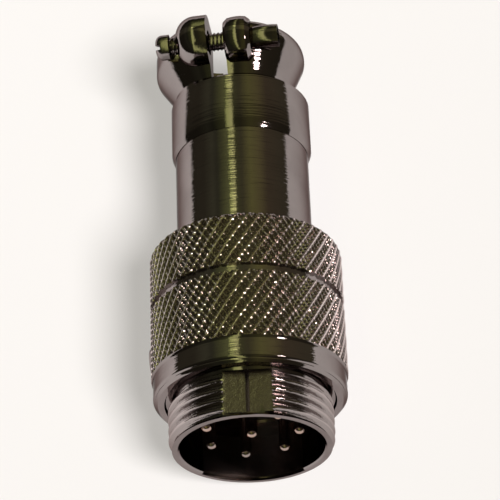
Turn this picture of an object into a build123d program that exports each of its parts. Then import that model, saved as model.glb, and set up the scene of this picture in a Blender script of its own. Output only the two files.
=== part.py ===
from build123d import *
import math
import os

# The plug lies along Y. Its front rim is at y = 0, the cable end points to +Y and Z is up.
# All sizes are in millimetres, and radii are measured from the plug's axis.
# Angles around the axis start at +X and turn towards +Z.

# Coupling thread and front shell
thread_r = 8.0
thread_chamfer = 0.3
thread_length = 4.4
relief_length = 0.7
relief_depth = 0.35
collar_rise = 0.2
rim_wall = 1.0
rim_bevel = 0.15
cavity_depth = 7.5
shell_wall = 0.7

# Cast flat on top of the thread, with the raised mould line along its middle
flat_angle = 87.0
flat_depth = 0.39
mould_line_width = 0.45
mould_line_rise = 0.22

# Wide keyway at the bottom of the rim and locating key at the top of the cavity
keyway_angle = 262.5
keyway_half_width = 44.0
keyway_depth = 0.3
keyway_length = 6.4
key_angle = 92.5
key_width = 1.3
key_height = 0.7
key_setback = 0.9

# Insulator and its snap ring
insulator_length = 5.0
insulator_gap = 0.03
pocket_step = 0.12
ledge_width = 0.5
ledge_thickness = 0.8
ring_thickness = 0.6
ring_width = 0.9
ring_groove_depth = 0.25
ring_gap_angle = 40.0
ring_backing = 0.35

# Contacts
pin_count = 7
pin_circle_margin = 1.78
pin_first_angle = 254.3
pin_r = 0.54
pin_tip_length = 0.3
pin_tip_r = 0.28
pin_recess = 1.3
pin_fit = 0.02
shank_rise = 0.4
cup_length = 4.6
cup_bore_r = 0.65
cup_bore_depth = 3.4

# Knurled sleeve and the flange of the shell that it traps
sleeve_setback = 0.4
sleeve_bore_gap = 0.15
lip_length = 0.5
lip_bevel = 0.25
cove = 0.2
band_drop = 0.18
band_length = 2.1
front_knurl_length = 7.0
groove_depth = 0.35
groove_half_width = 0.4
flange_setback = 2.2
flange_thickness = 1.4
sleeve_wall = 0.95
thread_fit = 0.05

# Long grooves of the rolled knurl, which lean to the right
knurl_starts = 51
knurl_lean = 0.7
knurl_depth = 0.3
knurl_half_width = 0.42

# Barrel
spigot_wall = 0.9
spigot_gap = 0.12
rear_knurl_length = 5.7
collar_bevel = 0.5
tube_r = 6.8
tube_wall = 0.85
tube_length = 11.5
ring_rise = 0.35
ring_bevel_length = 0.8
ring_bevel_rise = 0.3
ring_length = 6.5
ring_edge = 0.4
bore_cone = 1.3
chamber_end_gap = 1.5
cable_r = 3.6
cable_cone = 1.6

# Clamp bell: a narrow neck that flares to a rounded collar
neck_r = 5.0
neck_length = 0.8
flare_length = 4.5
saddle_flare_length = 3.0
bell_r = 6.95
bell_length = 7.0
bell_round = 1.3

# Clamp halves, with a lug around each screw
jaw_face_x = -0.45
clamp_open = 1.7
saddle_gap = 0.3
saddle_sag = 0.3
screw_setback = 2.5
screw_z = 6.2
lug_r = 2.4
saddle_lug_r = 2.65
lug_bevel = 0.4
saddle_lug_round = 2.1
fixed_lug_width = 2.7
saddle_lug_width = 3.4
boss_r = 1.2
boss_length = 2.8

# Clamp screws
screw_r = 0.95
screw_fit = 0.03
screw_clearance = 0.35
screw_head_rise = 0.35
screw_head_height = 1.4
screw_head_round = 0.7
screw_slot_width = 0.5
screw_slot_depth = 0.55
screw_slot_angle = 30.0
screw_standoff = 0.7
screw_length = 10.6
screw_tip = 0.2

# Lock screw in the side of the sleeve
lock_angle = 182.0
lock_setback = 5.6
lock_head_r = 1.6
lock_head_height = 0.75
lock_head_edge = 0.2
lock_proud = 0.1
lock_shank_r = 0.9
lock_slot_width = 0.45
lock_slot_depth = 0.4
lock_seat_gap = 0.1

# Radii worked out from the sizes above, from the inside outwards
cavity_r = thread_r - rim_wall
collar_r = thread_r + collar_rise
pocket_r = cavity_r - pocket_step
insulator_r = pocket_r - insulator_gap
ledge_r = pocket_r - ledge_width
pin_circle_r = ledge_r - pin_circle_margin
ring_groove_r = pocket_r + ring_groove_depth
shell_rear_r = pocket_r + shell_wall
spigot_bore_r = shell_rear_r + spigot_gap
barrel_thread_r = spigot_bore_r + spigot_wall
flange_r = barrel_thread_r - thread_fit
sleeve_thread_r = barrel_thread_r + thread_fit
knurl_r = sleeve_thread_r + sleeve_wall
groove_r = knurl_r - groove_depth
band_r = knurl_r - band_drop
lip_r = band_r - cove
tube_bore_r = tube_r - tube_wall
ring_r = tube_r + ring_rise
shank_r = pin_r + shank_rise
screw_hole_r = screw_r + screw_fit
screw_head_r = screw_r + screw_head_rise
lock_head_top = knurl_r + lock_proud
lock_head_seat = lock_head_top - lock_head_height
lock_tip = spigot_bore_r + thread_fit
reach = 2 * knurl_r

# Places along the axis worked out from the sizes above, from the front backwards
relief_end_y = thread_length + relief_length
sleeve_front_y = thread_length + sleeve_setback
lip_end_y = sleeve_front_y + lip_length
front_knurl_y = lip_end_y + band_length
groove_y = front_knurl_y + front_knurl_length
joint_y = groove_y + groove_half_width
rear_knurl_y = joint_y + groove_half_width
rear_knurl_end_y = rear_knurl_y + rear_knurl_length
flange_y = sleeve_front_y + flange_setback
flange_end_y = flange_y + flange_thickness
pocket_y = cavity_depth + ledge_thickness
insulator_end_y = cavity_depth + insulator_length
ring_face_y = insulator_end_y + ring_thickness
shell_end_y = ring_face_y + ring_backing
pin_tip_y = pin_recess + pin_tip_length
cup_end_y = insulator_end_y + cup_length
ring_start_y = rear_knurl_end_y + tube_length
ring_end_y = ring_start_y + ring_length
flare_y = ring_end_y + neck_length
bell_y = flare_y + flare_length
saddle_bell_y = flare_y + saddle_flare_length
rear_end_y = ring_end_y + bell_length
chamber_end_y = ring_end_y - chamber_end_gap
screw_y = rear_end_y - screw_setback
lock_y = sleeve_front_y + lock_setback

# Places across the clamp worked out from the sizes above
fixed_lug_x = jaw_face_x + fixed_lug_width
boss_x = fixed_lug_x + boss_length
saddle_lug_x = jaw_face_x - saddle_lug_width
head_seat_x = saddle_lug_x - clamp_open - screw_standoff
head_top_x = head_seat_x - screw_head_height
screw_tip_x = head_seat_x + screw_length


def side_plane(angle, y):
    """A plane on the axis at y, whose Z points outwards at the angle and whose X runs along the plug."""
    turn = math.radians(angle)
    return Plane(origin=(0, y, 0), x_dir=(0, 1, 0), z_dir=(math.cos(turn), 0, math.sin(turn)))


def cross_plane(x):
    """A plane across the plug at x, whose X runs along the plug and whose Y points up."""
    return Plane(origin=(x, 0, 0), x_dir=(0, 1, 0), z_dir=(1, 0, 0))


def knurl_grooves(start_y, end_y):
    """Cutters for the knurl's long grooves, which turn around the axis as they run along it."""
    length = end_y - start_y
    twist = math.degrees(length * knurl_lean / knurl_r)
    with BuildSketch(Plane.XZ.offset(-start_y)) as section:
        with BuildLine():
            Polyline(
                (knurl_r - knurl_depth, 0),
                (knurl_r + knurl_depth, 2 * knurl_half_width),
                (knurl_r + knurl_depth, -2 * knurl_half_width),
                close=True,
            )
        make_face()
    groove = Solid.extrude_linear_with_rotation(section.sketch.face(), (0, start_y, 0), (0, length, 0), twist)
    return [groove.rotate(Axis.Y, number * 360.0 / knurl_starts) for number in range(knurl_starts)]


def bell_outline(start_y, full_y):
    """Half section of the clamp's outside, with its full width from full_y on, closed on the axis."""
    Polyline(
        (0, start_y),
        (neck_r, start_y),
        (neck_r, flare_y),
        (bell_r, full_y),
        (bell_r, rear_end_y),
        (0, rear_end_y),
        close=True,
    )


def lug_outline(outer_x, radius):
    """Half section of a lug around a screw's axis, from the clamp's joint face to its outer face."""
    Polyline(
        (jaw_face_x, screw_y),
        (jaw_face_x, screw_y + radius),
        (outer_x, screw_y + radius),
        (outer_x, screw_y),
        close=True,
    )


os.makedirs("parts", exist_ok=True)
pieces = []

# Front shell, die cast, with the coupling thread outside and the insulator's pocket inside
with BuildPart() as front_shell:
    with BuildSketch(Plane.XY):
        with BuildLine():
            Polyline(
                (cavity_r + rim_bevel, 0),
                (thread_r - thread_chamfer, 0),
                (thread_r, thread_chamfer),
                (thread_r, thread_length),
                (thread_r - relief_depth, thread_length),
                (thread_r - relief_depth, relief_end_y),
                (collar_r, relief_end_y),
                (collar_r, flange_y),
                (flange_r, flange_y),
                (flange_r, flange_end_y),
                (shell_rear_r, flange_end_y),
                (shell_rear_r, shell_end_y),
                (pocket_r, shell_end_y),
                (pocket_r, ring_face_y),
                (ring_groove_r, ring_face_y),
                (ring_groove_r, insulator_end_y),
                (pocket_r, insulator_end_y),
                (pocket_r, pocket_y),
                (ledge_r, pocket_y),
                (ledge_r, cavity_depth),
                (cavity_r, cavity_depth),
                (cavity_r, rim_bevel),
                close=True,
            )
        make_face()
    revolve(axis=Axis.Y)
    with BuildSketch(side_plane(flat_angle, thread_length / 2).offset(thread_r - flat_depth)):
        Rectangle(thread_length, reach)
    extrude(amount=flat_depth, mode=Mode.SUBTRACT)
    with BuildSketch(side_plane(flat_angle, thread_length / 2).offset(thread_r - flat_depth)):
        with Locations((thread_chamfer / 2, 0)):
            Rectangle(thread_length - thread_chamfer, mould_line_width)
    extrude(amount=mould_line_rise)
    with BuildSketch(Plane.XZ.offset(-keyway_length)):
        with BuildLine():
            inner = CenterArc(
                (0, 0), cavity_r - rim_bevel, keyway_angle - keyway_half_width, 2 * keyway_half_width
            )
            outer = CenterArc(
                (0, 0), cavity_r + keyway_depth, keyway_angle - keyway_half_width, 2 * keyway_half_width
            )
            Line(inner @ 0, outer @ 0)
            Line(inner @ 1, outer @ 1)
        make_face()
    extrude(amount=keyway_length, mode=Mode.SUBTRACT)
    with BuildSketch(side_plane(key_angle, (key_setback + cavity_depth) / 2).offset(cavity_r - key_height)):
        Rectangle(cavity_depth - key_setback, key_width)
    extrude(amount=key_height + rim_bevel)
front_shell.part.label = "front_shell"
pieces.append(front_shell.part)

# Insulator that carries the contacts, pushed in from behind against the shell's ledge
pin_places = [(0.0, 0.0)]
for number in range(pin_count):
    turn = math.radians(pin_first_angle + number * 360.0 / pin_count)
    pin_places.append((pin_circle_r * math.cos(turn), pin_circle_r * math.sin(turn)))

with BuildPart() as pin_insulator:
    with BuildSketch(Plane.XY):
        with BuildLine():
            Polyline(
                (0, cavity_depth),
                (ledge_r - insulator_gap, cavity_depth),
                (ledge_r - insulator_gap, pocket_y),
                (insulator_r, pocket_y),
                (insulator_r, insulator_end_y),
                (0, insulator_end_y),
                close=True,
            )
        make_face()
    revolve(axis=Axis.Y)
    with BuildSketch(Plane.XZ.offset(-insulator_end_y)):
        with Locations(*pin_places):
            Circle(shank_r + pin_fit)
    extrude(amount=insulator_length, mode=Mode.SUBTRACT)
pin_insulator.part.label = "pin_insulator"
pieces.append(pin_insulator.part)

# Open spring ring that holds the insulator in the shell
with BuildPart() as insulator_snap_ring:
    with BuildSketch(Plane.XZ.offset(-ring_face_y)):
        Circle(ring_groove_r)
        Circle(ring_groove_r - ring_width, mode=Mode.SUBTRACT)
        with BuildLine():
            gap_arc = CenterArc((0, 0), reach, 90 - ring_gap_angle / 2, ring_gap_angle)
            Polyline(gap_arc @ 1, (0, 0), gap_arc @ 0)
        make_face(mode=Mode.SUBTRACT)
    extrude(amount=ring_thickness)
insulator_snap_ring.part.label = "insulator_snap_ring"
pieces.append(insulator_snap_ring.part)

# Contacts: a pin in front and a thicker shank through the insulator, drilled at its end as a solder cup
with BuildPart() as contact:
    with BuildSketch(Plane.XY):
        with BuildLine():
            Polyline(
                (0, pin_recess),
                (pin_tip_r, pin_recess),
                (pin_r, pin_tip_y),
                (pin_r, cavity_depth),
                (shank_r, cavity_depth),
                (shank_r, cup_end_y),
                (cup_bore_r, cup_end_y),
                (cup_bore_r, cup_end_y - cup_bore_depth),
                (0, cup_end_y - cup_bore_depth),
                close=True,
            )
        make_face()
    revolve(axis=Axis.Y)
for number, (pin_x, pin_z) in enumerate(pin_places, start=1):
    placed_contact = contact.part.moved(Location((pin_x, 0, pin_z)))
    placed_contact.label = f"contact_pin_{number}"
    pieces.append(placed_contact)

# Knurled sleeve that joins the front shell to the barrel
with BuildPart() as knurled_sleeve:
    with BuildSketch(Plane.XY):
        with BuildLine():
            Polyline(
                (lip_r - lip_bevel, sleeve_front_y),
                (lip_r, sleeve_front_y + lip_bevel),
                (lip_r, lip_end_y - cove),
                (band_r, lip_end_y),
                (band_r, front_knurl_y),
                (knurl_r, front_knurl_y),
                (knurl_r, groove_y),
                (groove_r, groove_y),
                (groove_r, joint_y),
                (sleeve_thread_r, joint_y),
                (sleeve_thread_r, flange_y),
                (collar_r + sleeve_bore_gap, flange_y),
                (collar_r + sleeve_bore_gap, sleeve_front_y),
                close=True,
            )
        make_face()
    revolve(axis=Axis.Y)
    with BuildSketch(side_plane(lock_angle, lock_y).offset(lock_head_seat)):
        Circle(lock_head_r + lock_seat_gap)
    extrude(amount=reach, mode=Mode.SUBTRACT)
    with BuildSketch(side_plane(lock_angle, lock_y)):
        Circle(lock_shank_r + thread_fit)
    extrude(amount=reach, mode=Mode.SUBTRACT)
    add(knurl_grooves(front_knurl_y, groove_y), mode=Mode.SUBTRACT)
knurled_sleeve.part.label = "knurled_sleeve"
pieces.append(knurled_sleeve.part)

# Barrel, one casting: knurled collar, cable tube, ring and the fixed half of the clamp
with BuildPart() as barrel:
    with BuildSketch(Plane.XY) as body_section:
        with BuildLine():
            Polyline(
                (0, flange_end_y),
                (barrel_thread_r, flange_end_y),
                (barrel_thread_r, joint_y),
                (groove_r, joint_y),
                (groove_r, rear_knurl_y),
                (knurl_r, rear_knurl_y),
                (knurl_r, rear_knurl_end_y),
                (tube_r, rear_knurl_end_y),
                (tube_r, ring_start_y),
                (ring_r - ring_bevel_rise, ring_start_y),
                (ring_r, ring_start_y + ring_bevel_length),
                (ring_r, ring_end_y),
                (0, ring_end_y),
                close=True,
            )
        make_face()
        chamfer(body_section.vertices().group_by(Axis.X)[-1].sort_by(Axis.Y)[-1], length=collar_bevel)
        chamfer(body_section.vertices().sort_by(Axis.Y)[-2:].sort_by(Axis.X)[-1], length=ring_edge)
    revolve(axis=Axis.Y)
    with BuildSketch(Plane.XY) as fixed_bell:
        with BuildLine():
            bell_outline(ring_end_y, bell_y)
        make_face()
        fillet(fixed_bell.vertices().sort_by(Axis.X)[-2:], radius=bell_round)
    revolve(axis=Axis.Y)
    for height in (screw_z, -screw_z):
        with BuildSketch(Plane.XY.offset(height)) as fixed_lug:
            with BuildLine():
                lug_outline(fixed_lug_x, lug_r)
            make_face()
            chamfer(fixed_lug.vertices().sort_by(Axis.Y)[-2:], length=lug_bevel)
        revolve(axis=Axis((0, screw_y, height), (1, 0, 0)))
    with BuildSketch(cross_plane(0)):
        with Locations((screw_y, screw_z), (screw_y, -screw_z)):
            Circle(boss_r)
    extrude(amount=boss_x)
    with BuildSketch(Plane.XY):
        with BuildLine():
            Polyline(
                (0, flange_end_y),
                (spigot_bore_r, flange_end_y),
                (spigot_bore_r, rear_knurl_end_y - tube_wall - bore_cone),
                (tube_bore_r, rear_knurl_end_y - tube_wall),
                (tube_bore_r, chamber_end_y),
                (cable_r, chamber_end_y + cable_cone),
                (cable_r, rear_end_y),
                (0, rear_end_y),
                close=True,
            )
        make_face()
    revolve(axis=Axis.Y, mode=Mode.SUBTRACT)
    with BuildSketch(Plane.XZ.offset(-(rear_end_y + lug_r))):
        with Locations((jaw_face_x - reach / 2, 0)):
            Rectangle(reach, 2 * reach)
    extrude(amount=rear_end_y + lug_r - ring_end_y, mode=Mode.SUBTRACT)
    with BuildSketch(cross_plane(jaw_face_x)):
        with Locations((screw_y, screw_z), (screw_y, -screw_z)):
            Circle(screw_hole_r)
    extrude(amount=reach, mode=Mode.SUBTRACT)
    with BuildSketch(side_plane(lock_angle, lock_y)):
        Circle(lock_shank_r + thread_fit)
    extrude(amount=reach, mode=Mode.SUBTRACT)
    add(knurl_grooves(rear_knurl_y, rear_knurl_end_y), mode=Mode.SUBTRACT)
barrel.part.label = "barrel"
pieces.append(barrel.part)

# Loose saddle of the clamp, which the slack of its screw holes lets sit a little further back
with BuildPart() as clamp_saddle:
    with BuildSketch(Plane.XY) as saddle_bell:
        with BuildLine():
            bell_outline(ring_end_y + saddle_gap - saddle_sag, saddle_bell_y)
        make_face()
        fillet(saddle_bell.vertices().sort_by(Axis.X)[-2:], radius=bell_round)
    revolve(axis=Axis.Y)
    for height in (screw_z, -screw_z):
        with BuildSketch(Plane.XY.offset(height)) as saddle_lug:
            with BuildLine():
                lug_outline(saddle_lug_x, saddle_lug_r)
            make_face()
            fillet(saddle_lug.vertices().sort_by(Axis.Y)[-2:].sort_by(Axis.X)[0], radius=saddle_lug_round)
        revolve(axis=Axis((0, screw_y, height), (1, 0, 0)))
    with BuildSketch(Plane.XZ.offset(-(rear_end_y + saddle_lug_r))):
        Circle(cable_r)
    extrude(amount=rear_end_y, mode=Mode.SUBTRACT)
    with BuildSketch(Plane.XZ.offset(-(rear_end_y + saddle_lug_r))):
        with Locations((jaw_face_x + reach / 2, 0)):
            Rectangle(reach, 2 * reach)
    extrude(amount=rear_end_y, mode=Mode.SUBTRACT)
    with BuildSketch(cross_plane(jaw_face_x)):
        with Locations((screw_y - saddle_sag, screw_z), (screw_y - saddle_sag, -screw_z)):
            Circle(screw_r + screw_clearance)
    extrude(amount=-reach, mode=Mode.SUBTRACT)
    with BuildSketch(cross_plane(saddle_lug_x)):
        with Locations((screw_y - saddle_sag, screw_z), (screw_y - saddle_sag, -screw_z)):
            Circle(screw_head_r + screw_clearance)
    extrude(amount=-reach, mode=Mode.SUBTRACT)
placed_saddle = clamp_saddle.part.moved(Location((-clamp_open, saddle_sag, 0)))
placed_saddle.label = "clamp_saddle"
pieces.append(placed_saddle)

# Clamp screws, with slotted domed heads on the saddle's side
with BuildPart() as clamp_screw:
    with BuildSketch(Plane.XY) as screw_section:
        with BuildLine():
            Polyline(
                (head_top_x, 0),
                (screw_tip_x, 0),
                (screw_tip_x, screw_r - screw_tip),
                (screw_tip_x - screw_tip, screw_r),
                (head_seat_x, screw_r),
                (head_seat_x, screw_head_r),
                (head_top_x, screw_head_r),
                close=True,
            )
        make_face()
        fillet(screw_section.vertices().group_by(Axis.Y)[-1].sort_by(Axis.X)[0], radius=screw_head_round)
    revolve(axis=Axis.X)
    with BuildSketch(cross_plane(head_top_x + screw_slot_depth)):
        Rectangle(screw_slot_width, 2 * screw_head_r, rotation=screw_slot_angle)
    extrude(amount=-screw_slot_depth, mode=Mode.SUBTRACT)
for name, height in (("clamp_screw_top", screw_z), ("clamp_screw_bottom", -screw_z)):
    placed_screw = clamp_screw.part.moved(Location((0, screw_y, height)))
    placed_screw.label = name
    pieces.append(placed_screw)

# Lock screw that stops the sleeve from turning on the barrel
with BuildPart() as lock_screw:
    with BuildSketch(side_plane(lock_angle, lock_y).offset(lock_tip)):
        Circle(lock_shank_r)
    extrude(amount=lock_head_seat - lock_tip)
    with BuildSketch(side_plane(lock_angle, lock_y).offset(lock_head_seat)):
        Circle(lock_head_r)
    extrude(amount=lock_head_height)
    head_face = lock_screw.faces().filter_by(GeomType.PLANE).sort_by(SortBy.DISTANCE)[-1]
    chamfer(head_face.edges(), length=lock_head_edge)
    with BuildSketch(side_plane(lock_angle, lock_y).offset(lock_head_top - lock_slot_depth)):
        Rectangle(2 * lock_head_r, lock_slot_width)
    extrude(amount=lock_slot_depth, mode=Mode.SUBTRACT)
lock_screw.part.label = "lock_screw"
pieces.append(lock_screw.part)

for piece in pieces:
    export_step(piece, f"parts/{piece.label}.step")
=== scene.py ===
"""Dresses the solids of a microphone plug: knurl, threads, plated finishes, stage and camera."""

import math

import bmesh
import bpy
from mathutils import Matrix, Vector


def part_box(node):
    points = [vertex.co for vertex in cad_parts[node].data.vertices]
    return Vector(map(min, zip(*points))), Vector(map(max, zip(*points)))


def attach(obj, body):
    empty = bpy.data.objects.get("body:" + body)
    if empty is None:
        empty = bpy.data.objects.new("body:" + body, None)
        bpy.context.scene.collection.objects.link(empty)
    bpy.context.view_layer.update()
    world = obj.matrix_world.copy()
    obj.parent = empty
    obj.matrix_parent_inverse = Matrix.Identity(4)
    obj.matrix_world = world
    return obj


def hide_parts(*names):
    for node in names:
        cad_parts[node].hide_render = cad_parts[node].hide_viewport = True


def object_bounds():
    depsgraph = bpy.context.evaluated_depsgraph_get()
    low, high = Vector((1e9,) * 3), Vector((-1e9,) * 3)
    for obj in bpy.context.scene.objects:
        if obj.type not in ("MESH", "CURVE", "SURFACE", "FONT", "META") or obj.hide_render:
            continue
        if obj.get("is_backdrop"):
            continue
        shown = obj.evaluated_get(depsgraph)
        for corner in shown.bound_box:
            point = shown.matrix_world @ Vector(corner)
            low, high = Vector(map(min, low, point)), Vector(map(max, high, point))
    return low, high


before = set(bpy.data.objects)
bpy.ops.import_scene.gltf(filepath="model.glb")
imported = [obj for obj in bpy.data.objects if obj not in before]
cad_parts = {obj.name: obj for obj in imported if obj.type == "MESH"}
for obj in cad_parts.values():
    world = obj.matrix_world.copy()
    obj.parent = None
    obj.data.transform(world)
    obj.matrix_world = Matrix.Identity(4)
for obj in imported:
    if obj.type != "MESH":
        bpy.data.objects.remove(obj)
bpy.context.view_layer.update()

bl_info = {
    "name": "Microphone plug",
    "version": (1, 0, 0),
    "blender": (4, 5, 0),
    "location": "3D View > Sidebar > Plug",
    "description": "Builds the knurl, threads and finishes of a microphone plug around its solids",
    "category": "Object",
}

MM = 0.001
TURN = 2 * math.pi
SHARP_ANGLE = math.radians(32)
MERGE_GAP = 1e-6
FLOOR_GLOW = 0.5

# Where the knurl starts and ends along the plug
SLEEVE_KNURL = (7.4 * MM, 14.4 * MM)
BARREL_KNURL = (15.2 * MM, 20.9 * MM)

# Where the lock screw and the thread's flat lie around the plug, in degrees from +X towards +Z
LOCK_ANGLE = 182.0
FLAT_ANGLE = 84.3

# Ears and bosses of the clamp: start, highest place and end along X, radius, and how far their ends drop
EARS = {
    "barrel": [
        (-0.45 * MM, 0.9 * MM, 2.25 * MM, 2.4 * MM, 0.35 * MM),
        (2.25 * MM, 3.65 * MM, 5.05 * MM, 1.2 * MM, 0.15 * MM),
    ],
    "clamp_saddle": [(-3.45 * MM, -3.45 * MM, -2.15 * MM, 2.65 * MM, 0.3 * MM)],
}
EAR_SLICES = 6
EAR_BORE = 1.05 * MM
EAR_MARGIN = 0.03 * MM
SCREW_HEAD = 1.4 * MM

# The camera's place and its sideways, upward and backward directions, and where the lamps stand
CAMERA_PLACE = (0.025633, -0.0897306, 0.1913976)
CAMERA_AXES = (
    (0.98831, -0.03264, -0.1489),
    (0.10257, 0.86497, 0.49123),
    (0.11276, -0.50076, 0.85821),
)
KEY_DIRECTION = (0.42, -0.45, 0.79)
SMALL_LIGHT_PLACE = (0.208, -0.03, 0.214)
SMALL_LIGHT_AIM = (0, 0.02, 0)


def node_radius(name):
    """Largest radius of a solid around the plug's axis, in metres."""
    return max(math.hypot(v.co.x, v.co.z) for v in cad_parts[name].data.vertices)


class Wire:
    """A node's output that can be used in sums, so that node maths reads as ordinary maths."""

    def __init__(self, bench, socket):
        self.bench = bench
        self.socket = socket

    def math(self, operation, *others):
        return self.bench.node("ShaderNodeMath", {"operation": operation}, [self, *others])

    def __add__(self, other):
        return self.math("ADD", other)

    def __sub__(self, other):
        return self.math("SUBTRACT", other)

    def __rsub__(self, other):
        return self.bench.node("ShaderNodeMath", {"operation": "SUBTRACT"}, [other, self])

    def __mul__(self, other):
        return self.math("MULTIPLY", other)

    def __truediv__(self, other):
        return self.math("DIVIDE", other)

    def __rtruediv__(self, other):
        return self.bench.node("ShaderNodeMath", {"operation": "DIVIDE"}, [other, self])

    def __gt__(self, other):
        return self.math("GREATER_THAN", other)

    def __lt__(self, other):
        return self.math("LESS_THAN", other)

    __radd__ = __add__
    __rmul__ = __mul__

    def peak(self):
        """A triangle wave of this value: 1 at whole numbers and 0 halfway between them."""
        return (self.math("FRACT") - 0.5).math("ABSOLUTE") * 2

    def ramp(self, low, high):
        """0 below low and 1 above high, with a soft step between them."""
        settings = {"interpolation_type": "SMOOTHSTEP"}
        return self.bench.node("ShaderNodeMapRange", settings, [self, low, high])


class Bench:
    """Makes the nodes of one tree."""

    def __init__(self, tree):
        self.tree = tree

    def node(self, kind, settings=None, sockets=None, output=0):
        """Adds a node, sets it up, fills its sockets by number or name, and returns one output."""
        made = self.tree.nodes.new(kind)
        for name, value in (settings or {}).items():
            if name == "stops":
                self.fill_ramp(made.color_ramp, value)
            else:
                setattr(made, name, value)
        pairs = sockets.items() if isinstance(sockets, dict) else enumerate(sockets or [])
        for key, value in pairs:
            if isinstance(value, Wire):
                self.tree.links.new(value.socket, made.inputs[key])
            elif value is not None:
                made.inputs[key].default_value = value
        return Wire(self, made.outputs[output]) if len(made.outputs) else made

    @staticmethod
    def fill_ramp(ramp, stops):
        while len(ramp.elements) < len(stops):
            ramp.elements.new(0.5)
        for element, (place, colour) in zip(ramp.elements, stops):
            element.position = place
            element.color = (*colour, 1)


def new_material(name):
    """A material with an empty tree, and the bench for it."""
    material = bpy.data.materials.new(name)
    material.use_nodes = True
    material.node_tree.nodes.clear()
    return material, Bench(material.node_tree)


def finish_material(bench, colour, roughness, metallic, height=None, relief=0.0, constants=None):
    """Ends a tree in one Principled shader, with an optional bump of the given depth in metres."""
    sockets = {"Base Color": colour, "Roughness": roughness, "Metallic": metallic}
    if height is not None:
        bump = {"Strength": 1.0, "Distance": relief, "Height": height}
        sockets["Normal"] = bench.node("ShaderNodeBump", None, bump)
    sockets.update(constants or {})
    shader = bench.node("ShaderNodeBsdfPrincipled", None, sockets)
    bench.node("ShaderNodeOutputMaterial", None, {"Surface": shader})


def object_noise(bench, size, detail=2.0, stretch=(1, 1, 1)):
    """Noise fixed to the piece, with features of about the given size in metres, from 0 to 1."""
    place = bench.node("ShaderNodeTexCoord", output="Object")
    scaled = bench.node("ShaderNodeMapping", None, {"Vector": place, "Scale": stretch})
    return bench.node("ShaderNodeTexNoise", None, {"Vector": scaled, "Scale": 1 / size, "Detail": detail})


def mixed(bench, factor, first, second):
    """A colour between two others."""
    mix = {"data_type": "RGBA"}
    return bench.node("ShaderNodeMix", mix, {0: factor, 6: (*first, 1), 7: (*second, 1)}, output=2)


def plated_material(name, bright, dull, smooth, rough, grain, relief, marks=0.0, crest=0.0):
    """Bright plating over cast or turned metal: dull patches, fine grain, tiny pits and marks of turning.

    Where a crest radius is given, the colour is lighter at that radius and darker in the hollows below it.
    This is partly polish of the crests, and partly painted highlight on the crests and painted shade in the
    hollows.
    """
    material, bench = new_material(name)
    # With a crest radius, this mask is painted shade that darkens the hollows below the crest. Without one,
    # it is random dull patches of the plating.
    if crest:
        place = bench.node("ShaderNodeTexCoord", output="Object")
        x = bench.node("ShaderNodeSeparateXYZ", None, [place])
        z = bench.node("ShaderNodeSeparateXYZ", None, [place], output=2)
        dull_patches_and_hollow_shade = 1 - (x * x + z * z).math("SQRT").ramp(crest - 0.14 * MM, crest - 0.01 * MM)
    else:
        dull_patches_and_hollow_shade = object_noise(bench, 4 * MM, 3.0).ramp(0.38, 0.72)
    specks = object_noise(bench, 0.35 * MM, 2.0).ramp(0.62, 0.75)
    colour = mixed(bench, dull_patches_and_hollow_shade * 0.7 + specks * 0.3, bright, dull)
    roughness = smooth + (rough - smooth) * (dull_patches_and_hollow_shade * 0.6 + specks * 0.4)
    height = object_noise(bench, grain, 3.0) + object_noise(bench, 4 * grain, 1.0) * 1.6
    if marks:
        height = height + object_noise(bench, 0.2 * MM, 1.0, (0.05, 1, 0.05)) * marks
    edge = {"Specular Tint": (*(0.8 * value for value in bright), 1)}
    finish_material(bench, colour, roughness, 1.0, height, relief, edge)
    return material


def moulded_material(name, colour, worn):
    """Black moulded insulator with a fine matt grain and a little dust."""
    material, bench = new_material(name)
    dust = object_noise(bench, 1.2 * MM, 4.0).ramp(0.55, 0.8)
    shade = mixed(bench, dust * 0.5, colour, worn)
    height = object_noise(bench, 0.08 * MM, 2.0)
    finish_material(bench, shade, 0.42 + dust * 0.2, 0.0, height, 0.01 * MM)
    return material


def floor_material(colour):
    """Plain pale table, whose shadows are lightened for the camera and in the plating's reflections."""
    material, bench = new_material("plug_table")
    plain = bench.node("ShaderNodeBsdfDiffuse", None, {"Color": (*colour, 1), "Roughness": 0.5})
    glow = bench.node("ShaderNodeEmission", None, {"Color": (*colour, 1), "Strength": 1.0})
    seen = bench.node("ShaderNodeLightPath", output="Is Camera Ray") + bench.node(
        "ShaderNodeLightPath", output="Is Glossy Ray"
    )
    shader = bench.node("ShaderNodeMixShader", None, [seen.math("MINIMUM", 1) * FLOOR_GLOW, plain, glow])
    bench.node("ShaderNodeOutputMaterial", None, {"Surface": shader})
    return material


def soften_ears(work, node):
    """Rounds off the clamp's ears and bosses on a solid's copy, as on a soft-edged casting."""
    for ear in EARS.get(node, ()):
        for screw in ("clamp_screw_top", "clamp_screw_bottom"):
            low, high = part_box(screw)
            axis = (low + high) / 2
            slice_ear(work, ear, axis)
            round_ear(work, ear, axis)


def ear_place(vertex, ear, axis):
    """A point's distance from the ear's screw, and how squarely it lies outside the screw, from 0 to 1."""
    low, _, high, radius, _ = ear
    away = (vertex.co.z - axis.z) * math.copysign(1, axis.z)
    distance = math.hypot(vertex.co.y - axis.y, away)
    across = EAR_BORE < distance < radius + EAR_MARGIN
    inside = across and low - MERGE_GAP <= vertex.co.x <= high + MERGE_GAP
    return distance, max(away / distance, 0) if inside else 0


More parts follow.
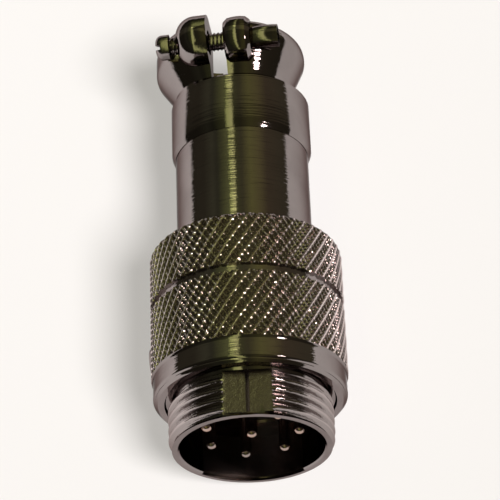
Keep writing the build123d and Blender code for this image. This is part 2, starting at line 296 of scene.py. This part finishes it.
def slice_ear(work, ear, axis):
    """Cuts the round outer side of an ear into narrow bands."""
    low, _, high, radius, _ = ear

    def on_skin(vertex):
        distance, square = ear_place(vertex, ear, axis)
        return square > 0 and distance > 0.93 * radius

    for step in range(1, EAR_SLICES):
        skin = [face for face in work.faces if all(on_skin(vertex) for vertex in face.verts)]
        edges = {edge for face in skin for edge in face.edges}
        points = {vertex for face in skin for vertex in face.verts}
        geometry = [*skin, *edges, *points]
        place = Vector((low + (high - low) * step / EAR_SLICES, 0, 0))
        bmesh.ops.bisect_plane(work, geom=geometry, dist=MERGE_GAP, plane_co=place, plane_no=(1, 0, 0))


def round_ear(work, ear, axis):
    """Lowers the bands of an ear towards its ends."""
    low, middle, high, radius, drop = ear
    for vertex in work.verts:
        distance, square = ear_place(vertex, ear, axis)
        if square > 0:
            reach = high - middle if vertex.co.x > middle else max(middle - low, MM)
            bend = ((vertex.co.x - middle) / reach) ** 2 * (distance / radius) ** 8 * square
            scale = 1 - drop * bend / distance
            vertex.co.y = axis.y + (vertex.co.y - axis.y) * scale
            vertex.co.z = axis.z + (vertex.co.z - axis.z) * scale


def solid_copy(node, name, reshape=None):
    """A welded, smooth-shaded copy of a solid, whose points reshape may move."""
    work = bmesh.new()
    work.from_mesh(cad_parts[node].data)
    bmesh.ops.remove_doubles(work, verts=work.verts, dist=MERGE_GAP)
    soften_ears(work, node)
    if reshape:
        for vertex in work.verts:
            vertex.co = reshape(vertex.co)
    mesh = bpy.data.meshes.new(name)
    work.to_mesh(mesh)
    work.free()
    if "custom_normal" in mesh.attributes:
        mesh.attributes.remove(mesh.attributes["custom_normal"])
    mesh.materials.clear()
    return add_piece(mesh, name)


def add_piece(mesh, name):
    """Links a mesh as a piece at the origin, with smooth faces and sharp edges."""
    mesh.shade_smooth()
    mesh.set_sharp_from_angle(angle=SHARP_ANGLE)
    piece = bpy.data.objects.new(name, mesh)
    bpy.context.scene.collection.objects.link(piece)
    return piece


def settle(piece, body, material, slot, *nodes):
    """Gives a piece its finish and its body, and lets it stand for solids."""
    if not piece.data.materials:
        piece.data.materials.append(material)
    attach(piece, body)
    if nodes:
        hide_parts(*nodes)


def ring_drop(axis_y, axis_z, along, low, high, above, radius):
    """A move that brings points in a stretch of a shaft, out past one radius, in to another."""

    def reshape(point):
        across = Vector((point.x, point.y - axis_y, point.z - axis_z))
        across[along] = 0
        place = point[along]
        if low <= place <= high and across.length > above:
            return point + across * (radius / across.length - 1)
        return point

    return reshape


def turned(name, outline, steps, place=None):
    """A solid of revolution around Y from a closed outline of radii and places, with its poles closed."""
    work = bmesh.new()
    rings = []
    for radius, y in outline:
        count = steps if radius > 0 else 1
        angles = [TURN * step / count for step in range(count)]
        rings.append([work.verts.new((radius * math.cos(a), y, radius * math.sin(a))) for a in angles])
    for first, second in zip(rings, rings[1:] + rings[:1]):
        for step in range(steps):
            corners = []
            for ring, number in ((first, step), (first, step + 1), (second, step + 1), (second, step)):
                vertex = ring[number % len(ring)]
                if vertex not in corners:
                    corners.append(vertex)
            if len(corners) > 2:
                work.faces.new(corners)
    mesh = bpy.data.meshes.new(name)
    work.to_mesh(mesh)
    work.free()
    if place is not None:
        mesh.transform(place)
    face_out(mesh)
    return add_piece(mesh, name)


def contact_piece(node, name):
    """A contact with a domed tip, a shank and a drilled solder cup, where the solid is."""
    low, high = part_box(node)
    pin, dome, shank, bore = 0.54 * MM, 0.45 * MM, (high.x - low.x) / 2, 0.65 * MM
    shoulder, bevel = 7.5 * MM, 0.08 * MM
    cup_wall, cup_tip = 3.4 * MM, 3.6 * MM
    outline = []
    for step in range(9):
        turn = step / 8 * math.pi / 2
        outline.append((pin * math.sin(turn), low.y + dome * (1 - math.cos(turn))))
    outline += [
        (pin, shoulder),
        (shank - bevel, shoulder),
        (shank, shoulder + bevel),
        (shank, high.y),
        (bore, high.y),
        (bore, high.y - cup_wall),
        (0, high.y - cup_tip),
    ]
    middle = (low + high) / 2
    return turned(name, outline, 40, Matrix.Translation((middle.x, 0, middle.z)))


def start_tree(name, inputs):
    """A geometry tree with named inputs, the bench for it, and a wire for each input."""
    tree = bpy.data.node_groups.new(name, "GeometryNodeTree")
    tree.interface.new_socket("Geometry", in_out="OUTPUT", socket_type="NodeSocketGeometry")
    for label, kind, value in inputs:
        socket = tree.interface.new_socket(label, in_out="INPUT", socket_type=kind)
        if value is not None:
            socket.default_value = value
    bench = Bench(tree)
    entry = tree.nodes.new("NodeGroupInput")
    wires = {label: Wire(bench, entry.outputs[label]) for label, _, _ in inputs}
    return tree, bench, wires


def close_tree(bench, geometry, material):
    """Ends a geometry tree in real geometry with its material."""
    real = bench.node("GeometryNodeRealizeInstances", None, [geometry])
    painted = bench.node("GeometryNodeSetMaterial", None, {"Geometry": real, "Material": material})
    bench.node("NodeGroupOutput", None, [painted])


def wrapped_tube(bench, wires, surface, lean=0.0):
    """A closed tube around Y whose outside radius is surface(turn, y), from a flat grid.

    The grid's first and last rows lie on the floor radius, and its last row meets the first one.
    Its columns turn around the axis by the lean, in turns a metre, so that they follow slanting grooves.
    """
    columns, rows = wires["Columns"], wires["Rows"]
    grid = bench.node("GeometryNodeMeshGrid", None, [1.0, 1.0, columns + 1, rows + 4])
    place = bench.node("GeometryNodeInputPosition")
    spread = bench.node("ShaderNodeSeparateXYZ", None, [place])
    turn = spread + 0.5
    row = (bench.node("ShaderNodeSeparateXYZ", None, [place], output=1) + 0.5) * (rows + 3)
    along = ((row - 1) / rows).math("MAXIMUM", 0).math("MINIMUM", 1)
    back = row > (rows + 2.5)
    y = wires["Start"] + wires["Length"] * along * (1 - back)
    outside = (row > 0.5) * (row < (rows + 1.5))
    radius = wires["Floor radius"] + (surface(turn, y) - wires["Floor radius"]) * outside
    angle = (turn - (y - wires["Start"]) * lean) * TURN
    x, z = radius * angle.math("COSINE"), radius * angle.math("SINE")
    point = bench.node("ShaderNodeCombineXYZ", None, [x, y, z])
    shaped = bench.node("GeometryNodeSetPosition", None, {"Geometry": grid, "Position": point})
    merged = bench.node("GeometryNodeMergeByDistance", None, {"Geometry": shaped, "Distance": MERGE_GAP})
    return merged


TUBE_INPUTS = [
    ("Start", "NodeSocketFloat", 0.0),
    ("Length", "NodeSocketFloat", 0.007),
    ("Crest radius", "NodeSocketFloat", 0.0096),
    ("Floor radius", "NodeSocketFloat", 0.009),
    ("Depth", "NodeSocketFloat", 0.0003),
    ("Columns", "NodeSocketInt", 512),
    ("Rows", "NodeSocketInt", 48),
    ("Material", "NodeSocketMaterial", None),
]


def knurl_tree():
    """Rolled knurl: long grooves leaning one way, each with two rows of small pits between its crests."""
    inputs = TUBE_INPUTS + [
        ("Starts", "NodeSocketFloat", 51.0),
        ("Cross starts", "NodeSocketFloat", 76.0),
        ("Pit depth", "NodeSocketFloat", 0.00018),
        ("Lean", "NodeSocketFloat", 0.7),
        ("End round", "NodeSocketFloat", 0.0),
        ("Seat turn", "NodeSocketFloat", 0.5),
        ("Seat place", "NodeSocketFloat", 1.0),
        ("Seat radius", "NodeSocketFloat", 0.0017),
        ("Seat floor", "NodeSocketFloat", 0.009),
    ]
    tree, bench, wires = start_tree("rolled_knurl", inputs)
    crest = wires["Crest radius"]
    lean = wires["Lean"] / (crest * TURN)

    def surface(turn, y):
        """Turn is counted along the slanting columns, from the middle of a groove."""
        from_start = y - wires["Start"]
        phase = turn * wires["Starts"]
        valley = phase.peak().ramp(0.0, 0.5)
        rows = (phase * 3 + 0.5).peak().ramp(0.0, 0.55) * phase.peak().ramp(0.1, 0.3)
        cross = ((turn - from_start * lean * 2) * wires["Cross starts"]).peak().ramp(0.1, 0.75)
        cut = valley * wires["Depth"] + rows * cross * wires["Pit depth"]
        to_end = wires["Length"] - from_start
        over = (wires["End round"] - to_end).math("MAXIMUM", 0)
        rounded = wires["End round"] - (wires["End round"] * wires["End round"] - over * over).math("SQRT")
        plain = crest - cut - rounded
        swing = (turn - from_start * lean - wires["Seat turn"]) * TURN
        aside = swing.math("SINE") * crest
        away = y - wires["Seat place"]
        near = (aside * aside + away * away).math("SQRT") < wires["Seat radius"]
        seat = near * (swing.math("COSINE") > 0)
        return plain + (wires["Seat floor"] - plain) * seat

    close_tree(bench, wrapped_tube(bench, wires, surface, lean), wires["Material"])
    return tree


def thread_tree():
    """Right-hand thread around Y that fades at both ends, with an optional cast flat and mould line."""
    inputs = TUBE_INPUTS + [
        ("Pitch", "NodeSocketFloat", 0.001),
        ("Fade", "NodeSocketFloat", 0.0004),
        ("Flat turn", "NodeSocketFloat", 0.25),
        ("Flat height", "NodeSocketFloat", 1.0),
        ("Line half width", "NodeSocketFloat", 0.0),
        ("Line rise", "NodeSocketFloat", 0.0),
    ]
    tree, bench, wires = start_tree("cut_thread", inputs)

    def surface(turn, y):
        from_start = y - wires["Start"]
        to_end = wires["Length"] - from_start
        strength = (from_start.math("MINIMUM", to_end) / wires["Fade"]).math("MINIMUM", 1)
        groove = (y / wires["Pitch"] - turn).peak().ramp(0.1, 0.95)
        root = wires["Crest radius"] - wires["Depth"]
        full = root + (1 - groove) * wires["Depth"] * strength
        swing = (turn - wires["Flat turn"]) * TURN
        across = swing.math("COSINE").math("MAXIMUM", 0.5)
        facing = swing.math("COSINE") > 0
        side = (swing.math("SINE") * wires["Flat height"]).math("ABSOLUTE")
        line = (side < wires["Line half width"]) * facing
        flat = (wires["Flat height"] + wires["Line rise"] * line) / across
        cast = (wires["Flat height"] / across) < (wires["Crest radius"] - 0.04 * MM)
        return full + (flat.math("MINIMUM", wires["Crest radius"]) - full) * cast * facing

    close_tree(bench, wrapped_tube(bench, wires, surface), wires["Material"])
    return tree


def grown(name, tree, values, material, place=None):
    """Runs a geometry tree on a new piece and keeps its result as a plain mesh."""
    seed = bpy.data.objects.new(name + "_seed", bpy.data.meshes.new(name + "_seed"))
    bpy.context.scene.collection.objects.link(seed)
    modifier = seed.modifiers.new("shape", "NODES")
    modifier.node_group = tree
    for item in tree.interface.items_tree:
        if item.item_type == "SOCKET" and item.in_out == "INPUT" and item.name in values:
            modifier[item.identifier] = values[item.name]
        if item.item_type == "SOCKET" and item.in_out == "INPUT" and item.name == "Material":
            modifier[item.identifier] = material
    evaluated = seed.evaluated_get(bpy.context.evaluated_depsgraph_get())
    mesh = bpy.data.meshes.new_from_object(evaluated)
    mesh.name = name
    seed.modifiers.remove(modifier)
    bpy.data.objects.remove(seed)
    if place is not None:
        mesh.transform(place)
    face_out(mesh)
    return add_piece(mesh, name)


def face_out(mesh):
    """Turns a closed mesh's faces outwards."""
    work = bmesh.new()
    work.from_mesh(mesh)
    bmesh.ops.recalc_face_normals(work, faces=work.faces)
    if work.calc_volume(signed=True) < 0:
        bmesh.ops.reverse_faces(work, faces=work.faces)
    work.to_mesh(mesh)
    work.free()


class PlugFinish(bpy.types.PropertyGroup):
    """Colours of the finishes."""

    plating: bpy.props.FloatVectorProperty(
        name="Plating",
        description="Colour of the bright plating",
        subtype="COLOR",
        default=(0.34, 0.30, 0.295),
    )
    # Colour of dull patches of the plating. It also paints shade into the knurl's hollows.
    dull_plating_and_hollow_shade: bpy.props.FloatVectorProperty(
        name="Dull plating",
        description="Colour of dull patches of the plating",
        subtype="COLOR",
        default=(0.28, 0.245, 0.24),
    )
    contact: bpy.props.FloatVectorProperty(
        name="Contacts",
        description="Colour of the contacts",
        subtype="COLOR",
        default=(0.56, 0.42, 0.36),
    )
    insulator: bpy.props.FloatVectorProperty(
        name="Insulator",
        description="Colour of the insulator",
        subtype="COLOR",
        default=(0.011, 0.010, 0.010),
    )
    dust: bpy.props.FloatVectorProperty(
        name="Dust",
        description="Colour of the dust on the insulator",
        subtype="COLOR",
        default=(0.045, 0.042, 0.04),
    )
    spring: bpy.props.FloatVectorProperty(
        name="Spring",
        description="Colour of the snap ring",
        subtype="COLOR",
        default=(0.35, 0.35, 0.36),
    )


class PlugKnurl(bpy.types.PropertyGroup):
    """Sizes of the rolled knurl."""

    crest: bpy.props.FloatProperty(
        name="Crest radius",
        description="Radius over the knurl",
        unit="LENGTH",
        default=node_radius("barrel") - 0.003 * MM,
    )
    depth: bpy.props.FloatProperty(
        name="Groove depth",
        description="Depth of the long grooves",
        unit="LENGTH",
        default=0.08 * MM,
    )
    pit_depth: bpy.props.FloatProperty(
        name="Pit depth",
        description="Depth of the pits in the grooves",
        unit="LENGTH",
        default=0.24 * MM,
    )
    starts: bpy.props.IntProperty(
        name="Starts",
        description="Number of long grooves",
        default=51,
    )
    cross_starts: bpy.props.IntProperty(
        name="Cross starts",
        description="Number of crossing rows of pits",
        default=92,
    )
    lean: bpy.props.FloatProperty(
        name="Lean",
        description="Slope of the grooves to the axis",
        default=0.7,
    )


class PlugThread(bpy.types.PropertyGroup):
    """Sizes of the threads."""

    crest: bpy.props.FloatProperty(
        name="Coupling radius",
        description="Radius over the coupling thread",
        unit="LENGTH",
        default=8.0 * MM,
    )
    pitch: bpy.props.FloatProperty(
        name="Coupling pitch",
        description="Pitch of the coupling thread",
        unit="LENGTH",
        default=1.0 * MM,
    )
    depth: bpy.props.FloatProperty(
        name="Coupling depth",
        description="Depth of the coupling thread",
        unit="LENGTH",
        default=0.5 * MM,
    )
    screw_radius: bpy.props.FloatProperty(
        name="Screw radius",
        description="Radius over the clamp screws' thread",
        unit="LENGTH",
        default=0.95 * MM,
    )
    screw_pitch: bpy.props.FloatProperty(
        name="Screw pitch",
        description="Pitch of the clamp screws",
        unit="LENGTH",
        default=0.4 * MM,
    )
    screw_depth: bpy.props.FloatProperty(
        name="Screw depth",
        description="Depth of the clamp screws' thread",
        unit="LENGTH",
        default=0.2 * MM,
    )


class PlugStage(bpy.types.PropertyGroup):
    """Table, light and camera."""

    table: bpy.props.FloatVectorProperty(
        name="Table",
        description="Colour of the table",
        subtype="COLOR",
        default=(0.86, 0.83, 0.82),
    )
    lens: bpy.props.FloatProperty(name="Lens", description="Focal length in millimetres", default=159.97)
    key: bpy.props.FloatProperty(name="Key light", description="Strength of the main light", default=4.1)
    small: bpy.props.FloatProperty(name="Small light", description="Power of the small light", default=0.3)


MATERIALS = {}


class PLUG_OT_finishes(bpy.types.Operator):
    """Make the materials"""

    bl_idname = "plug.finishes"
    bl_label = "Finishes"

    def execute(self, context):
        look = context.scene.plug_finish
        bright, dull = tuple(look.plating), tuple(look.dull_plating_and_hollow_shade)
        contact, spring = tuple(look.contact), tuple(look.spring)
        insulator, dust = tuple(look.insulator), tuple(look.dust)
        # Lighter colours for the crests of the thread and the knurl, partly polish and partly painted
        # highlight. The knurl's hollows take the dull colour as painted shade.
        thread_crest_polish_and_highlight = tuple(1.5 * value for value in bright)
        knurl_crest_polish_and_highlight = tuple(2.3 * value for value in bright)
        thread_crest, knurl_crest = context.scene.plug_thread.crest, context.scene.plug_knurl.crest
        fine, cast, coarse = 0.10 * MM, 0.12 * MM, 0.20 * MM
        flat, deep = 0.003 * MM, 0.012 * MM
        MATERIALS["casting"] = plated_material("plated_casting", bright, dull, 0.06, 0.14, cast, 0.004 * MM)
        MATERIALS["turned"] = plated_material(
            "plated_turned", bright, dull, 0.05, 0.11, cast, flat, marks=8.0
        )
        MATERIALS["thread"] = plated_material(
            "plated_thread", thread_crest_polish_and_highlight, bright, 0.10, 0.22, cast, deep, crest=thread_crest
        )
        MATERIALS["knurl"] = plated_material(
            "plated_knurl", knurl_crest_polish_and_highlight, dull, 0.05, 0.12, fine, flat, crest=knurl_crest
        )
        MATERIALS["screw"] = plated_material("plated_screw", bright, dull, 0.10, 0.22, fine, flat)
        MATERIALS["contact"] = plated_material("plated_contact", contact, bright, 0.10, 0.22, fine, flat)
        MATERIALS["spring"] = plated_material("spring_steel", spring, dull, 0.25, 0.45, coarse, flat)
        MATERIALS["insulator"] = moulded_material("black_insulator", insulator, dust)
        return {"FINISHED"}


class PLUG_OT_sleeve(bpy.types.Operator):
    """Make the knurled sleeve: its plain body and the rolled knurl"""

    bl_idname = "plug.sleeve"
    bl_label = "Knurled sleeve"

    def execute(self, context):
        size = context.scene.plug_knurl
        low, high = SLEEVE_KNURL
        under = size.crest - 0.75 * MM
        band, lip = size.crest - 0.18 * MM, size.crest - 0.38 * MM
        groove, thread = size.crest - 0.35 * MM, size.crest - 0.95 * MM
        bore = 8.35 * MM
        front, flange, joint = 4.8 * MM, 7.0 * MM, 14.8 * MM
        outline = [
            (bore, front),
            (lip - 0.25 * MM, front),
            (lip, front + 0.25 * MM),
            (lip, front + 0.32 * MM),
            (lip + 0.1 * MM, front + 0.4 * MM),
            (band - 0.03 * MM, front + 0.47 * MM),
            (band, front + 0.52 * MM),
            (band, front + 0.6 * MM),
            (band, low - 0.3 * MM),
            (band, low - 0.22 * MM),
            (band + 0.05 * MM, low - 0.1 * MM),
            (size.crest - 0.03 * MM, low),
            (under, low + 0.05 * MM),
            (under, high - 0.05 * MM),
            (groove, high),
            (groove, joint),
            (thread, joint),
            (thread, flange),
            (bore, flange),
        ]
        body = turned("sleeve_body", outline, 192)
        settle(body, "plug", MATERIALS["turned"], "plated_casting", "knurled_sleeve")
        values = knurl_values(size, low, high)
        lock_low, lock_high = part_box("lock_screw")
        values["Seat turn"] = LOCK_ANGLE / 360
        values["Seat place"] = (lock_low.y + lock_high.y) / 2
        knurl = grown("sleeve_knurl", knurl_tree(), values, MATERIALS["knurl"])
        settle(knurl, "plug", MATERIALS["knurl"], "plated_casting")
        return {"FINISHED"}


def knurl_values(size, low, high):
    """Inputs of the knurl between two places along the plug."""
    return {
        "Start": low,
        "Length": high - low,
        "Crest radius": size.crest,
        "Floor radius": size.crest - 0.8 * MM,
        "Depth": size.depth,
        "Pit depth": size.pit_depth,
        "Starts": float(size.starts),
        "Cross starts": float(size.cross_starts),
        "Lean": size.lean,
        "Seat floor": size.crest - 0.66 * MM,
        "Columns": size.starts * 18,
        "Rows": int((high - low) / (0.08 * MM)),
    }


class PLUG_OT_barrel(bpy.types.Operator):
    """Make the barrel: the casting with its tube and clamp half, and the knurl on its collar"""

    bl_idname = "plug.barrel"
    bl_label = "Barrel"

    def execute(self, context):
        size = context.scene.plug_knurl
        low, high = BARREL_KNURL
        inside, groove = size.crest - 0.75 * MM, size.crest - 0.36 * MM

        def under_knurl(point):
            radius = math.hypot(point.x, point.z)
            if low - 0.01 * MM < point.y < low + 0.01 * MM and radius > groove:
                return Vector((point.x * groove / radius, point.y, point.z * groove / radius))
            if low < point.y < high + 0.01 * MM and radius > inside:
                y = min(point.y, high - 0.02 * MM)
                return Vector((point.x * inside / radius, y, point.z * inside / radius))
            return point

        body = solid_copy("barrel", "barrel_body", under_knurl)
        settle(body, "plug", MATERIALS["turned"], "plated_casting", "barrel")
        values = knurl_values(size, low, high)
        values["End round"] = 0.6 * MM
        knurl = grown("barrel_knurl", knurl_tree(), values, MATERIALS["knurl"])
        settle(knurl, "plug", MATERIALS["knurl"], "plated_casting")
        return {"FINISHED"}


class PLUG_OT_shell(bpy.types.Operator):
    """Make the front shell and its coupling thread with the cast flat"""

    bl_idname = "plug.shell"
    bl_label = "Front shell"

    def execute(self, context):
        size = context.scene.plug_thread
        low, high = 0.3 * MM, 4.7 * MM
        drop = ring_drop(0, 0, 1, 0.2 * MM, 4.45 * MM, size.crest - 0.6 * MM, size.crest - 0.65 * MM)
        body = solid_copy("front_shell", "shell_body", drop)
        settle(body, "plug", MATERIALS["casting"], "plated_casting", "front_shell")
        values = {
            "Start": low,
            "Length": high - low,
            "Crest radius": size.crest,
            "Floor radius": size.crest - 0.8 * MM,
            "Depth": size.depth,
            "Columns": 256,
            "Rows": 66,
            "Pitch": size.pitch,
            "Fade": 0.3 * MM,
            "Flat turn": FLAT_ANGLE / 360,
            "Flat height": size.crest - 0.39 * MM,
            "Line half width": 0.12 * MM,
            "Line rise": 0.14 * MM,
        }
        thread = grown("coupling_thread", thread_tree(), values, MATERIALS["thread"])
        settle(thread, "plug", MATERIALS["thread"], "plated_casting")
        return {"FINISHED"}


class PLUG_OT_clamp(bpy.types.Operator):
    """Make the loose saddle and the two clamp screws with their threads"""

    bl_idname = "plug.clamp"
    bl_label = "Cable clamp"

    def execute(self, context):
        size = context.scene.plug_thread
        saddle = solid_copy("clamp_saddle", "saddle_body")
        settle(saddle, "saddle", MATERIALS["casting"], "plated_casting", "clamp_saddle")
        tree = thread_tree()
        for side in ("top", "bottom"):
            node = "clamp_screw_" + side
            low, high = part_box(node)
            axis_y, axis_z = (low.y + high.y) / 2, (low.z + high.z) / 2
            seat = low.x + SCREW_HEAD
            root = size.screw_radius - size.screw_depth
            start, end = seat - 0.05 * MM, high.x - 0.25 * MM
            drop = ring_drop(axis_y, axis_z, 0, start, end, size.screw_radius * 0.98, root)
            reshape = shank_only(drop, axis_y, axis_z, size.screw_radius * 1.02)
            body = solid_copy(node, "screw_body_" + side, reshape)
            settle(body, "screw_" + side, MATERIALS["screw"], "plated_screw", node)
            length = high.x - seat - 0.1 * MM
            values = {
                "Start": 0.0,
                "Length": length,
                "Crest radius": size.screw_radius,
                "Floor radius": size.screw_radius - 0.3 * MM,
                "Depth": size.screw_depth,
                "Columns": 40,
                "Rows": int(length / (size.screw_pitch / 8)),
                "Pitch": size.screw_pitch,
                "Fade": 0.2 * MM,
                "Flat height": 1.0,
            }
            place = Matrix.Translation((seat, axis_y, axis_z)) @ Matrix.Rotation(-math.pi / 2, 4, "Z")
            thread = grown("screw_thread_" + side, tree, values, MATERIALS["screw"], place)
            settle(thread, "screw_" + side, MATERIALS["screw"], "plated_screw")
        return {"FINISHED"}


def shank_only(drop, axis_y, axis_z, top):
    """A move of a screw's shank points only, which leaves its head as it is."""

    def reshape(point):
        if math.hypot(point.y - axis_y, point.z - axis_z) > top:
            return point
        return drop(point)

    return reshape


class PLUG_OT_small_pieces(bpy.types.Operator):
    """Make the lock screw, the contacts, the insulator and its snap ring"""

    bl_idname = "plug.small_pieces"
    bl_label = "Contacts and small pieces"

    def execute(self, context):
        lock = solid_copy("lock_screw", "lock_screw_body")
        settle(lock, "plug", MATERIALS["screw"], "plated_screw", "lock_screw")
        for number in range(1, 9):
            node = f"contact_pin_{number}"
            pin = contact_piece(node, f"contact_{number}")
            settle(pin, "plug", MATERIALS["contact"], "plated_contact", node)
        insulator = solid_copy("pin_insulator", "insulator_body")
        settle(insulator, "plug", MATERIALS["insulator"], "black_insulator", "pin_insulator")
        ring = solid_copy("insulator_snap_ring", "snap_ring")
        settle(ring, "plug", MATERIALS["spring"], "spring_steel", "insulator_snap_ring")
        return {"FINISHED"}


class PLUG_OT_stage(bpy.types.Operator):
    """Make the table, the room's reflections, the lamps and the camera"""

    bl_idname = "plug.stage"
    bl_label = "Stage"

    def execute(self, context):
        look = context.scene.plug_stage
        make_table(look)
        make_room()
        make_lamps(look)
        make_camera(look)
        return {"FINISHED"}


def make_table(look):
    """A wide round table whose edge turns down far away."""
    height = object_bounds()[0].z
    profile = [(0.0, 0.0), (0.4, 0.0), (3.5, 0.0), (3.6, -0.02)]
    work = bmesh.new()
    points = [work.verts.new((radius, 0, height + rise)) for radius, rise in profile]
    edges = [work.edges.new(pair) for pair in zip(points, points[1:])]
    bmesh.ops.spin(work, geom=points + edges, axis=(0, 0, 1), cent=(0, 0, 0), angle=TURN, steps=96)
    bmesh.ops.remove_doubles(work, verts=work.verts, dist=MERGE_GAP)
    bmesh.ops.recalc_face_normals(work, faces=work.faces)
    mesh = bpy.data.meshes.new("table")
    work.to_mesh(mesh)
    work.free()
    if mesh.polygons[0].normal.z < 0:
        mesh.flip_normals()
    table = add_piece(mesh, "table")
    mesh.materials.append(floor_material(tuple(look.table)))
    table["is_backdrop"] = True


def make_room():
    """The dim room that the plating mirrors: dark overhead, with one window strip."""
    world = bpy.data.worlds.new("room")
    world.use_nodes = True
    world.node_tree.nodes.clear()
    bench = Bench(world.node_tree)
    direction = bench.node("ShaderNodeTexCoord", output="Generated")
    x = bench.node("ShaderNodeSeparateXYZ", None, [direction])
    z = bench.node("ShaderNodeSeparateXYZ", None, [direction], output=2)
    around = x.math("ARCTAN2", z) / math.radians(360) + 0.5
    dark, brown = (0.05, 0.045, 0.03), (0.10, 0.08, 0.05)
    stops = [
        (0.0, dark),
        (0.33, dark),
        (0.375, (0.08, 0.08, 0.05)),
        (0.40, (0.055, 0.055, 0.035)),
        (0.430, (0.12, 0.13, 0.055)),
        (0.457, (0.20, 0.22, 0.085)),
        (0.461, (1.2, 1.35, 0.46)),
        (0.486, (1.6, 1.65, 0.70)),
        (0.490, (0.10, 0.105, 0.045)),
        (0.52, (0.09, 0.085, 0.045)),
        (0.56, (0.20, 0.195, 0.07)),
        (0.60, (0.18, 0.16, 0.07)),
        (0.64, brown),
        (0.72, (0.08, 0.07, 0.045)),
        (1.0, (0.08, 0.07, 0.045)),
    ]
    colour = bench.node("ShaderNodeValToRGB", {"stops": stops}, [around])
    height = bench.node("ShaderNodeSeparateXYZ", None, [direction], output=1)
    middle = height.ramp(0.26, 0.36) * (1 - height.ramp(0.58, 0.72))
    noise = bench.node("ShaderNodeTexNoise", {"noise_dimensions": "1D"}, {"W": around * 70, "Detail": 2.0})
    folds = 0.75 + 0.5 * noise
    window = (around > 0.455) * (around < 0.492)
    below, above = 1 - height.ramp(0.38, 0.44), height.ramp(0.62, 0.70)
    pane = height.ramp(0.465, 0.515) * (1 - height.ramp(0.552, 0.568))
    plain = folds * (0.4 + 0.6 * middle)
    strength = plain + (0.10 + 1.1 * pane + 0.4 * below + 0.2 * above - plain) * window
    background = bench.node("ShaderNodeBackground", None, {"Color": colour, "Strength": strength})
    bench.node("ShaderNodeOutputWorld", None, {"Surface": background})
    bpy.context.scene.world = world


def make_lamps(look):
    """One broad soft main light and a small one beside the camera."""
    key = bpy.data.lights.new("key_light", "SUN")
    key.energy = look.key
    key.angle = math.radians(20)
    key_object = bpy.data.objects.new("key_light", key)
    key_object.rotation_mode = "QUATERNION"
    key_object.rotation_quaternion = Vector(KEY_DIRECTION).to_track_quat("Z", "Y")
    key_object.visible_glossy = False
    bpy.context.scene.collection.objects.link(key_object)
    small = bpy.data.lights.new("small_light", "AREA")
    small.shape = "DISK"
    small.size = 0.045
    small.energy = look.small
    small.color = (1.0, 0.86, 0.84)
    small_object = bpy.data.objects.new("small_light", small)
    small_object.visible_diffuse = False
    small_object.location = SMALL_LIGHT_PLACE
    small_object.rotation_mode = "QUATERNION"
    backwards = Vector(SMALL_LIGHT_PLACE) - Vector(SMALL_LIGHT_AIM)
    small_object.rotation_quaternion = backwards.to_track_quat("Z", "Y")
    bpy.context.scene.collection.objects.link(small_object)


def make_camera(look):
    """The camera at the photograph's viewpoint."""
    camera = bpy.data.cameras.new("camera")
    camera.lens = look.lens
    camera.sensor_width = 36.0
    camera.clip_start = 0.01
    camera.clip_end = 10.0
    camera_object = bpy.data.objects.new("camera", camera)
    axes = Matrix(CAMERA_AXES).transposed().to_4x4()
    camera_object.matrix_world = Matrix.Translation(CAMERA_PLACE) @ axes
    bpy.context.scene.collection.objects.link(camera_object)
    bpy.context.scene.camera = camera_object
    bpy.context.scene.view_settings.view_transform = "Standard"


class PLUG_PT_panel(bpy.types.Panel):
    """Steps and sizes of the plug"""

    bl_label = "Microphone plug"
    bl_idname = "PLUG_PT_panel"
    bl_space_type = "VIEW_3D"
    bl_region_type = "UI"
    bl_category = "Plug"

    def draw(self, context):
        for operator in OPERATORS:
            self.layout.operator(operator.bl_idname)
        for group in GROUPS:
            settings = getattr(context.scene, group)
            for name in settings.__annotations__:
                self.layout.prop(settings, name)


GROUPS = {
    "plug_finish": PlugFinish,
    "plug_knurl": PlugKnurl,
    "plug_thread": PlugThread,
    "plug_stage": PlugStage,
}
OPERATORS = (
    PLUG_OT_finishes,
    PLUG_OT_sleeve,
    PLUG_OT_barrel,
    PLUG_OT_shell,
    PLUG_OT_clamp,
    PLUG_OT_small_pieces,
    PLUG_OT_stage,
)


def register():
    for name, group in GROUPS.items():
        bpy.utils.register_class(group)
        setattr(bpy.types.Scene, name, bpy.props.PointerProperty(type=group))
    for cls in (*OPERATORS, PLUG_PT_panel):
        bpy.utils.register_class(cls)


def unregister():
    for cls in reversed((*OPERATORS, PLUG_PT_panel)):
        bpy.utils.unregister_class(cls)
    for name, group in GROUPS.items():
        delattr(bpy.types.Scene, name)
        bpy.utils.unregister_class(group)


def main():
    register()
    bpy.ops.plug.finishes()
    bpy.ops.plug.sleeve()
    bpy.ops.plug.barrel()
    bpy.ops.plug.shell()
    bpy.ops.plug.clamp()
    bpy.ops.plug.small_pieces()
    bpy.ops.plug.stage()


if __name__ == "__main__":
    main()
